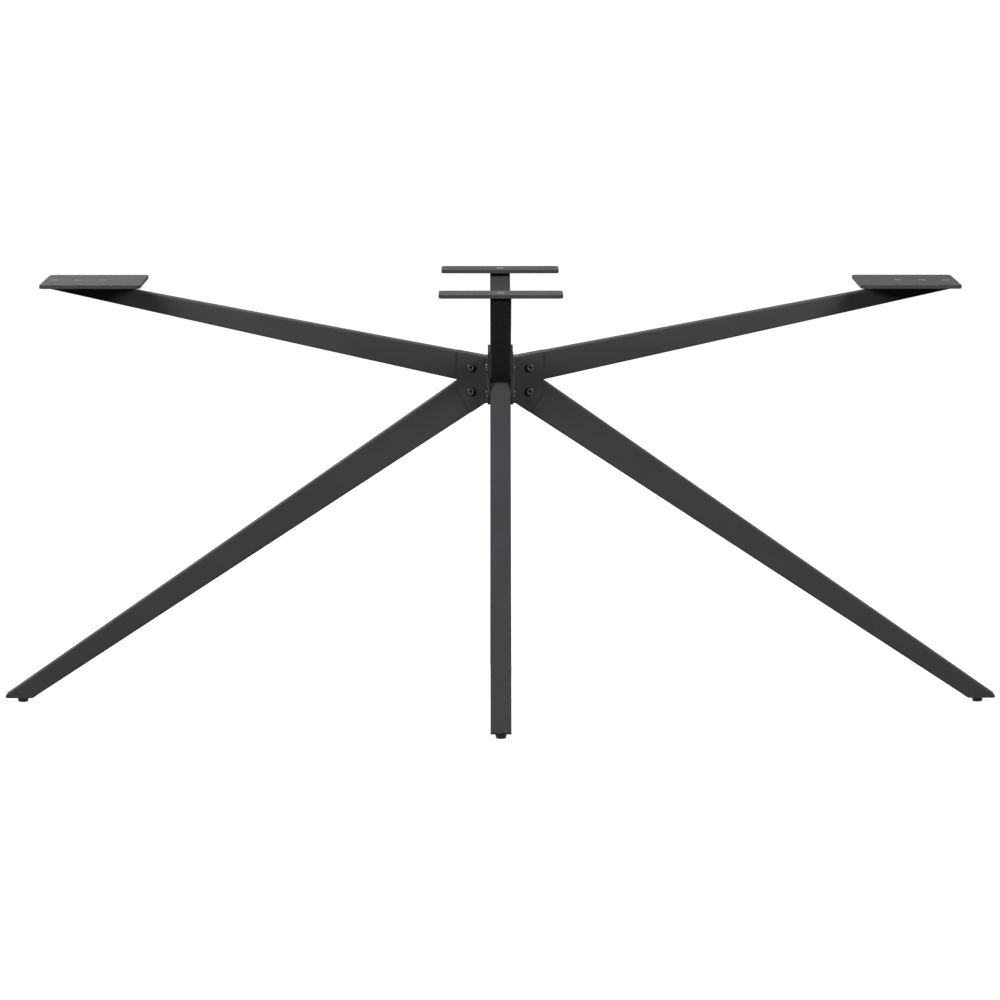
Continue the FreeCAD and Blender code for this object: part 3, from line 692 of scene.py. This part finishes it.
class TABLEBASE_OT_sole_plates(bpy.types.Operator):
    """Builds the four sole plates at the feet"""
    bl_idname = "table_base.sole_plates"
    bl_label = "Build Sole Plates"

    def execute(self, context):
        settings = context.scene.table_base
        section = settings.section
        low, rise = section.sole_height, section.sole_thickness
        for name, kind, turns in UNITS:
            unit = getattr(settings, kind)
            inner, outer = sole_runs(section, unit)
            bm = bmesh.new()
            draw_section(bm, [
                (unit.leg_inner_reach, low),
                (unit.leg_outer_reach, low),
                (unit.leg_outer_reach - rise * outer, low + rise),
                (unit.leg_inner_reach - rise * inner, low + rise),
            ], section.width)
            round_nose(bm, unit.leg_outer_reach, atan2(1.0, outer), section.sole_nose_radius)
            round_edges(bm, sharp_edges(bm), section.joint_bevel, JOINT_SEGMENTS)
            turn_about_hub(bm, turns)
            add_piece(context, bm, f"{name}_foot_plate", f"{name}_sole_plate", "powder_coat")
        return {"FINISHED"}


def draw_plate(bm, plate, unit, underside):
    """The rim of a plate with rounded corners; its two faces are left open."""
    run = unit.plate_end - unit.plate_start
    middle = (unit.plate_end + unit.plate_start) / 2
    bmesh.ops.create_grid(bm, x_segments=1, y_segments=1, size=0.5, matrix=(
        Matrix.Translation((middle, 0.0, underside))
        @ Matrix.Diagonal((run, plate.width, 1.0, 1.0))))
    bmesh.ops.bevel(bm, geom=bm.verts[:], offset=plate.corner_radius, affect="VERTICES",
                    segments=CORNER_SEGMENTS, profile=0.5, material=-1)
    draw_out(bm, (0.0, 0.0, plate.thickness))
    round_edges(bm, sharp_edges(bm, PLATE_ANGLE), plate.rim_radius, RIM_SEGMENTS)
    flats = [face for face in bm.faces if abs(face.normal.z) > LEVEL]
    bmesh.ops.delete(bm, geom=flats, context="FACES_ONLY")


class TABLEBASE_OT_top_plates(bpy.types.Operator):
    """Builds the four plates that carry the table top"""
    bl_idname = "table_base.top_plates"
    bl_label = "Build Top Plates"

    def execute(self, context):
        settings = context.scene.table_base
        plate = settings.plate
        underside = plate_underside(settings)
        steps = settings.fasteners.turning_steps
        across = plate.width / 2 - plate.hole_inset
        for name, kind, turns in UNITS:
            unit = getattr(settings, kind)
            bm = bmesh.new()
            draw_plate(bm, plate, unit, underside)
            for reach in (unit.plate_start + plate.hole_inset, unit.plate_end - plate.hole_inset):
                for side in (across, -across):
                    sink_hole(bm, (reach, side, plate.top), plate.hole_radius + plate.rim_radius,
                              plate.hole_radius, plate.thickness, steps)
            for index in range(unit.screw_count):
                reach = unit.screw_reach - index * unit.screw_step
                sink_hole(bm, (reach, 0.0, plate.top), plate.countersink_radius,
                          plate.screw_hole_radius, plate.thickness, steps)
            close_flat(bm, plate.top)
            close_flat(bm, underside)
            bmesh.ops.recalc_face_normals(bm, faces=bm.faces)
            turn_about_hub(bm, turns)
            add_piece(context, bm, f"{name}_table_plate", f"{name}_top_plate", "powder_coat")
        return {"FINISHED"}


class TABLEBASE_OT_brackets(bpy.types.Operator):
    """Builds the four bent corner brackets at the hub"""
    bl_idname = "table_base.brackets"
    bl_label = "Build Corner Brackets"

    def execute(self, context):
        settings = context.scene.table_base
        for name, across, along in CORNERS:
            bm = bent_bracket(settings)
            bmesh.ops.scale(bm, verts=bm.verts, vec=(across, along, 1.0))
            bmesh.ops.recalc_face_normals(bm, faces=bm.faces)
            add_piece(context, bm, f"{name}_clamp", f"{name}_bracket", "powder_coat")
        return {"FINISHED"}


def arm_edge(section, unit, underside, reach):
    """Height of an arm's upper edge at a reach."""
    slope = (underside - unit.arm_hub_height) / (unit.arm_top_reach - section.hub_gap)
    return unit.arm_hub_height + (reach - section.hub_gap) * slope


def leg_edge(section, unit, reach):
    """Height of a leg's lower edge at a reach."""
    inner, _ = sole_runs(section, unit)
    return unit.leg_hub_height - (reach - section.hub_gap) / inner


def bent_bracket(settings):
    """One bracket in the quarter where both axes are positive."""
    section, sheet, side, end = settings.section, settings.bracket, settings.side, settings.end
    underside = plate_underside(settings)
    half = section.width / 2
    bend = half + sheet.thickness + sheet.bend_radius
    top = arm_edge(section, side, underside, bend)
    foot = leg_edge(section, side, bend)
    side_corners = [
        (bend, foot),
        (side.flange_foot, leg_edge(section, side, side.flange_foot)),
        (side.flange_reach, side.flange_corner),
        (side.flange_reach, arm_edge(section, side, underside, side.flange_reach)),
        (bend, top),
    ]
    # The corners of the other flange between the two ends of the bend
    end_corners = [
        (end.flange_foot, foot),
        (end.flange_reach, end.flange_corner),
        (end.flange_reach, arm_edge(section, end, underside, end.flange_reach) - sheet.tip_drop),
    ]
    bm = bmesh.new()
    side_verts = [bm.verts.new((x, half, z)) for x, z in side_corners]
    bm.faces.new(side_verts)
    inner_edge = bm.edges.get((side_verts[0], side_verts[-1]))
    swept = bmesh.ops.spin(bm, geom=[inner_edge, side_verts[0], side_verts[-1]],
                           cent=(bend, bend, 0.0), axis=(0, 0, -1), angle=pi / 2,
                           steps=BEND_SEGMENTS, use_merge=False, use_normal_flip=False,
                           use_duplicate=False)["geom_last"]
    low, high = sorted(only(swept, BMVert), key=lambda vert: vert.co.z)
    bm.faces.new([low, *(bm.verts.new((half, y, z)) for y, z in end_corners), high])
    bmesh.ops.recalc_face_normals(bm, faces=bm.faces)
    flange = max(bm.faces, key=lambda face: face.calc_area())
    away = 1 if flange.normal.x + flange.normal.y < 0 else -1
    bmesh.ops.solidify(bm, geom=bm.faces[:], thickness=away * sheet.thickness)
    bmesh.ops.recalc_face_normals(bm, faces=bm.faces)
    round_edges(bm, sharp_edges(bm, BRACKET_ANGLE), sheet.edge_radius, RIM_SEGMENTS)
    return bm


def hub_screw_mesh(fasteners):
    """One button head screw, its seat at the origin."""
    height, radius = fasteners.hub_head_height, fasteners.hub_head_radius
    flat, rim = fasteners.hub_head_flat, fasteners.hub_head_rim
    shank, run = fasteners.hub_shank_radius, fasteners.hub_shank_length
    tip, ease = fasteners.tip_chamfer, fasteners.easing
    quarter = [step * pi / 2 / DOME_SEGMENTS for step in range(DOME_SEGMENTS + 1)]
    dome = [(flat + (radius - flat) * cos(turn), rim + (height - rim) * sin(turn))
            for turn in quarter]
    bm = bmesh.new()
    spin_profile(bm, [(0.0, -run), (shank - tip, -run), (shank, tip - run), (shank, 0.0),
                      (radius - ease, 0.0), (radius, ease), *dome], fasteners.turning_steps)
    sink_socket(bm, height, fasteners.hub_socket, fasteners.hub_socket_depth)
    return bm


class TABLEBASE_OT_hub_screws(bpy.types.Operator):
    """Builds the sixteen button head screws of the hub"""
    bl_idname = "table_base.hub_screws"
    bl_label = "Build Hub Screws"

    def execute(self, context):
        settings = context.scene.table_base
        fasteners = settings.fasteners
        heights = (fasteners.hub_upper_height, fasteners.hub_lower_height)
        seat = settings.section.width / 2 + settings.bracket.thickness
        for name, kind, turns in UNITS:
            reach = getattr(settings, kind).hub_screw_reach
            bm = hub_screw_mesh(fasteners)
            add_copies(bm, [Matrix.Translation((reach, side * seat, height))
                            @ Matrix.Rotation(-side * pi / 2, 4, "X")
                            for side in (1, -1) for height in heights])
            turn_about_hub(bm, turns)
            add_piece(context, bm, f"{name}_button_screws", f"{name}_hub_screws",
                      "blackened_steel")
        return {"FINISHED"}


def plate_screw_mesh(fasteners):
    """One countersunk screw, the top of its head at the origin."""
    head, rim = fasteners.plate_head_radius, fasteners.plate_head_rim
    shank, run = fasteners.plate_shank_radius, fasteners.plate_shank_length
    tip, ease = fasteners.tip_chamfer, fasteners.easing / 2
    bm = bmesh.new()
    spin_profile(bm, [(0.0, -run), (shank - tip, -run), (shank, tip - run),
                      (shank, shank - head - rim), (head, -rim), (head, -ease),
                      (head - ease, 0.0)], fasteners.turning_steps)
    sink_socket(bm, 0.0, fasteners.plate_socket, fasteners.plate_socket_depth)
    return bm


class TABLEBASE_OT_plate_screws(bpy.types.Operator):
    """Builds the countersunk screws in the top plates"""
    bl_idname = "table_base.plate_screws"
    bl_label = "Build Plate Screws"

    def execute(self, context):
        settings = context.scene.table_base
        top = settings.plate.top
        for name, kind, turns in UNITS:
            unit = getattr(settings, kind)
            bm = plate_screw_mesh(settings.fasteners)
            add_copies(bm, [Matrix.Translation((unit.screw_reach - index * unit.screw_step,
                                                0.0, top)) for index in range(unit.screw_count)])
            turn_about_hub(bm, turns)
            add_piece(context, bm, f"{name}_countersunk_screws", f"{name}_plate_screws",
                      "blackened_steel")
        return {"FINISHED"}


class TABLEBASE_OT_glides(bpy.types.Operator):
    """Builds the four glides with their studs"""
    bl_idname = "table_base.glides"
    bl_label = "Build Glides"

    def execute(self, context):
        settings = context.scene.table_base
        fasteners = settings.fasteners
        wide, foot = fasteners.glide_top_radius, fasteners.glide_foot_radius
        tip, ease = fasteners.tip_chamfer, fasteners.easing
        round_foot = 3 * ease
        sole = settings.section.sole_height
        collar, recess = sole - fasteners.glide_collar, fasteners.glide_recess
        stud, stud_top = fasteners.stud_radius, sole + fasteners.stud_length
        for name, kind, turns in UNITS:
            bm = bmesh.new()
            spin_profile(bm, [
                (0.0, recess), (foot / 2, recess), (foot / 2 + recess, 0.0),
                (foot - round_foot, 0.0), (foot - ease, ease), (foot, round_foot),
                (wide - ease, collar - ease), (wide, collar), (wide, sole - ease),
                (wide - ease, sole), (stud, sole), (stud, stud_top - tip),
                (stud - tip, stud_top), (0.0, stud_top),
            ], fasteners.turning_steps)
            bmesh.ops.recalc_face_normals(bm, faces=bm.faces)
            reach = getattr(settings, kind).glide_reach
            bmesh.ops.translate(bm, verts=bm.verts, vec=(reach, 0.0, 0.0))
            turn_about_hub(bm, turns)
            add_piece(context, bm, f"{name}_floor_glide", f"{name}_glide", "black_plastic")
        return {"FINISHED"}


def add_lamp(context, name, power, place, width, height):
    """A soft rectangular lamp that looks at the middle of the object."""
    lamp = bpy.data.lights.new(name, "AREA")
    lamp.energy = power
    lamp.shape = "RECTANGLE"
    lamp.size = width
    lamp.size_y = height
    holder = bpy.data.objects.new(name, lamp)
    holder.location = place
    holder.rotation_euler = (Vector(LAMP_AIM) - Vector(place)).to_track_quat("-Z", "Y").to_euler()
    context.scene.collection.objects.link(holder)


def seen_or_mirrored(nodes):
    """One for rays from the camera and mirrored or transmitted ones, and zero for diffuse light."""
    path = nodes.add("ShaderNodeLightPath", "Kind of ray")
    total = path.outputs["Is Camera Ray"]
    for kind in ("Is Glossy Ray", "Is Transmission Ray"):
        total = nodes.join(nodes.add("ShaderNodeMath", "Either ray", operation="MAXIMUM"),
                           total, path.outputs[kind])
    return total


class TABLEBASE_OT_stage(bpy.types.Operator):
    """Makes the camera, the lamps, the white floor and the plain surroundings"""
    bl_idname = "table_base.stage"
    bl_label = "Make Stage"

    def execute(self, context):
        settings = context.scene.table_base.stage
        scene = context.scene
        camera = bpy.data.cameras.new("Camera")
        camera.lens = settings.camera_lens
        camera.sensor_width = SENSOR_WIDTH
        camera.clip_end = SIGHT
        holder = bpy.data.objects.new("Camera", camera)
        holder.location = settings.camera_place
        holder.rotation_euler = (pi / 2 - settings.camera_pitch, 0.0, -settings.camera_yaw)
        scene.collection.objects.link(holder)
        scene.camera = holder

        for name, power, place, width, height in LAMPS:
            add_lamp(context, name, getattr(settings, power), place, width, height)
        self.make_floor(context, settings)
        self.make_room(scene, settings)
        scene.view_settings.view_transform = "Standard"
        return {"FINISHED"}

    def make_floor(self, context, settings):
        """White floor that keeps the shadow and throws hardly any diffuse light back."""
        bm = bmesh.new()
        bmesh.ops.create_grid(bm, x_segments=1, y_segments=1, size=settings.floor_width / 2)
        mesh = bpy.data.meshes.new("floor")
        bm.to_mesh(mesh)
        bm.free()
        floor = bpy.data.objects.new("floor", mesh)
        context.scene.collection.objects.link(floor)
        material = bpy.data.materials.new("White floor")
        mesh.materials.append(material)
        nodes = Nodes(material)
        distance = nodes.add("ShaderNodeVectorMath", "Distance from the object",
                             operation="LENGTH")
        nodes.join(distance, nodes.place("Place on the floor"))
        spread = nodes.feed(nodes.add("ShaderNodeMapRange", "Glow"),
                            Value=distance.outputs["Value"], From_Min=settings.glow_start,
                            From_Max=settings.glow_end, To_Min=settings.floor_glow, To_Max=1.0)
        glow = nodes.feed(nodes.add("ShaderNodeEmission", "Own brightness"),
                          Strength=spread.outputs["Result"])
        paper = nodes.feed(nodes.add("ShaderNodeBsdfDiffuse", "Paper"), Color=PAPER)
        white = nodes.join(nodes.add("ShaderNodeAddShader", "White paper"),
                           glow.outputs[0], paper.outputs[0])
        dark = nodes.feed(nodes.add("ShaderNodeBsdfDiffuse", "Dark for diffuse light"), Color=DARK)
        mix = nodes.join(nodes.add("ShaderNodeMixShader", "By kind of ray"),
                         seen_or_mirrored(nodes), dark.outputs[0], white)
        nodes.end("ShaderNodeOutputMaterial", mix)

    def make_room(self, scene, settings):
        """Plain white surroundings, dim for diffuse light."""
        room = bpy.data.worlds.new("Plain room")
        scene.world = room
        nodes = Nodes(room)
        strength = nodes.feed(nodes.add("ShaderNodeMapRange", "Room brightness"),
                              Value=seen_or_mirrored(nodes), To_Min=settings.room_light,
                              To_Max=1.0)
        background = nodes.feed(nodes.add("ShaderNodeBackground", "White room"), Color=WHITE,
                                Strength=strength.outputs["Result"])
        nodes.end("ShaderNodeOutputWorld", background.outputs[0])


BUILD_STEPS = (TABLEBASE_OT_finishes, TABLEBASE_OT_arms, TABLEBASE_OT_legs,
               TABLEBASE_OT_sole_plates, TABLEBASE_OT_top_plates, TABLEBASE_OT_brackets,
               TABLEBASE_OT_hub_screws, TABLEBASE_OT_plate_screws, TABLEBASE_OT_glides,
               TABLEBASE_OT_stage)


class TABLEBASE_PT_panel(bpy.types.Panel):
    """Lists the pieces of the table base and their sizes"""
    bl_idname = "TABLEBASE_PT_panel"
    bl_label = "Table Base"
    bl_space_type = "VIEW_3D"
    bl_region_type = "UI"
    bl_category = "Table Base"

    def draw(self, context):
        settings = context.scene.table_base
        for step in BUILD_STEPS:
            self.layout.operator(step.bl_idname)
        for group in settings.__annotations__:
            box = self.layout.box()
            box.label(text=group.capitalize())
            values = getattr(settings, group)
            for key in values.__annotations__:
                box.prop(values, key)


CLASSES = (TABLEBASE_PG_section, TABLEBASE_PG_side_unit, TABLEBASE_PG_end_unit,
           TABLEBASE_PG_plate, TABLEBASE_PG_bracket, TABLEBASE_PG_fasteners,
           TABLEBASE_PG_finishes, TABLEBASE_PG_stage, TABLEBASE_PG_settings, *BUILD_STEPS,
           TABLEBASE_PT_panel)


def register():
    """Registers the classes and the settings."""
    for item in CLASSES:
        bpy.utils.register_class(item)
    bpy.types.Scene.table_base = PointerProperty(type=TABLEBASE_PG_settings)


def unregister():
    """Removes the settings and the classes."""
    del bpy.types.Scene.table_base
    for item in reversed(CLASSES):
        bpy.utils.unregister_class(item)


def main():
    """Builds the pieces and the stage."""
    register()
    bpy.ops.table_base.finishes()
    bpy.ops.table_base.arms()
    bpy.ops.table_base.legs()
    bpy.ops.table_base.sole_plates()
    bpy.ops.table_base.top_plates()
    bpy.ops.table_base.brackets()
    bpy.ops.table_base.hub_screws()
    bpy.ops.table_base.plate_screws()
    bpy.ops.table_base.glides()
    bpy.ops.table_base.stage()


if __name__ == "__main__":
    main()
